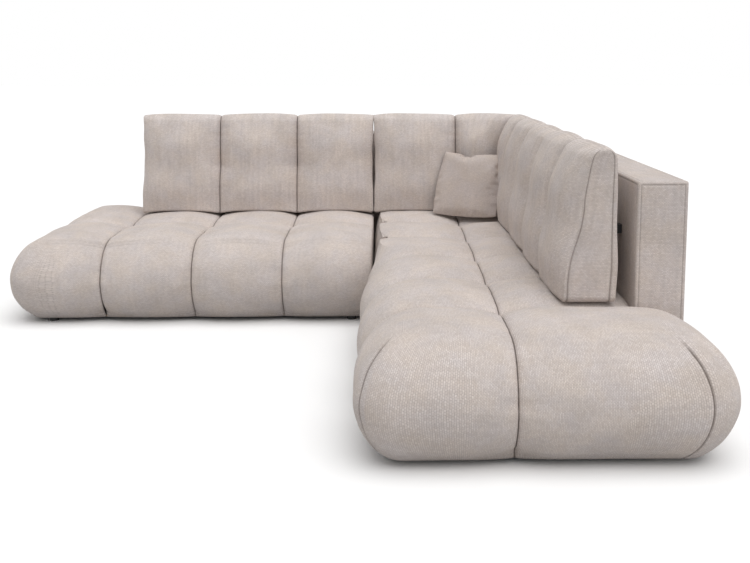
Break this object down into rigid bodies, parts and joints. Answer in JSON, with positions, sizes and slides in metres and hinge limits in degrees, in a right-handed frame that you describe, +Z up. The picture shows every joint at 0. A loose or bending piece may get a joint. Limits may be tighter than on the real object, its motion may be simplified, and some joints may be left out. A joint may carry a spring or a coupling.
{
  "type": "corner sofa",
  "caption": "Low corner sofa with tufted channel upholstery, open rounded ends, sliding wedge backrests, boxed backs and a loose scatter pillow.",
  "frame": {"origin": "on the floor, under the middle of the sofa's outline box", "axes": "+Y from the sitter's side towards the rear back box, +X towards the side back box, +Z up"},
  "size_m": [2.7619, 2.7718, 0.9084],
  "materials": {
    "chenille": "matte",
    "pillow_chenille": "matte",
    "foam": "matte",
    "felt": "matte",
    "dust_cloth": "matte",
    "black_plastic": "matte",
    "grey_plastic": "satin",
    "painted_steel": "satin",
    "zinced_steel": "satin",
    "softwood": "matte"
  },
  "bodies": {
    "base": {"connector_plates": "painted_steel", "connector_screws": "zinced_steel", "corner_brackets": "painted_steel", "corner_rear_cushion": "chenille", "corner_rear_frame": "softwood", "corner_side_cushion": "chenille", "corner_side_frame": "softwood", "left_box_cover": "chenille", "left_box_posts": "softwood", "left_box_rails": "softwood", "left_cross_rails": "softwood", "left_dust_cover": "dust_cloth", "left_feet": "black_plastic", "left_foam_core": "foam", "left_foot_blocks": "softwood", "left_guide_collars": "grey_plastic", "left_guide_tubes": "painted_steel", "left_long_rails": "softwood", "left_seat_cushion": "chenille", "left_spring_clips": "grey_plastic", "left_springs": "zinced_steel", "left_support_felt": "felt", "right_box_cover": "chenille", "right_box_posts": "softwood", "right_box_rails": "softwood", "right_cross_rails": "softwood", "right_dust_cover": "dust_cloth", "right_feet": "black_plastic", "right_foam_core": "foam", "right_foot_blocks": "softwood", "right_guide_collars": "grey_plastic", "right_guide_tubes": "painted_steel", "right_long_rails": "softwood", "right_seat_cushion": "chenille", "right_spring_clips": "grey_plastic", "right_springs": "zinced_steel", "right_support_felt": "felt"},
    "left_backrest": {"left_backrest_cushion": "chenille", "left_backrest_posts": "softwood", "left_backrest_rails": "softwood", "left_slide_bars": "painted_steel", "left_slide_glides": "grey_plastic", "left_slide_plates": "painted_steel"},
    "right_backrest": {"right_backrest_cushion": "chenille", "right_backrest_posts": "softwood", "right_backrest_rails": "softwood", "right_slide_bars": "painted_steel", "right_slide_glides": "grey_plastic", "right_slide_plates": "painted_steel"},
    "pillow": {"scatter_pillow": "pillow_chenille"}
  },
  "joints": [
    {"name": "left_backrest_slide", "type": "slide", "parent": "base", "child": "left_backrest", "axis": [0, -1, 0], "range_m": [0, 0.12]},
    {"name": "right_backrest_slide", "type": "slide", "parent": "base", "child": "right_backrest", "axis": [-1, 0, 0], "range_m": [0, 0.12]},
    {"name": "pillow_lift", "type": "slide", "parent": "base", "child": "pillow", "axis": [0, 0, 1], "range_m": [0, 0.25]}
  ]
}
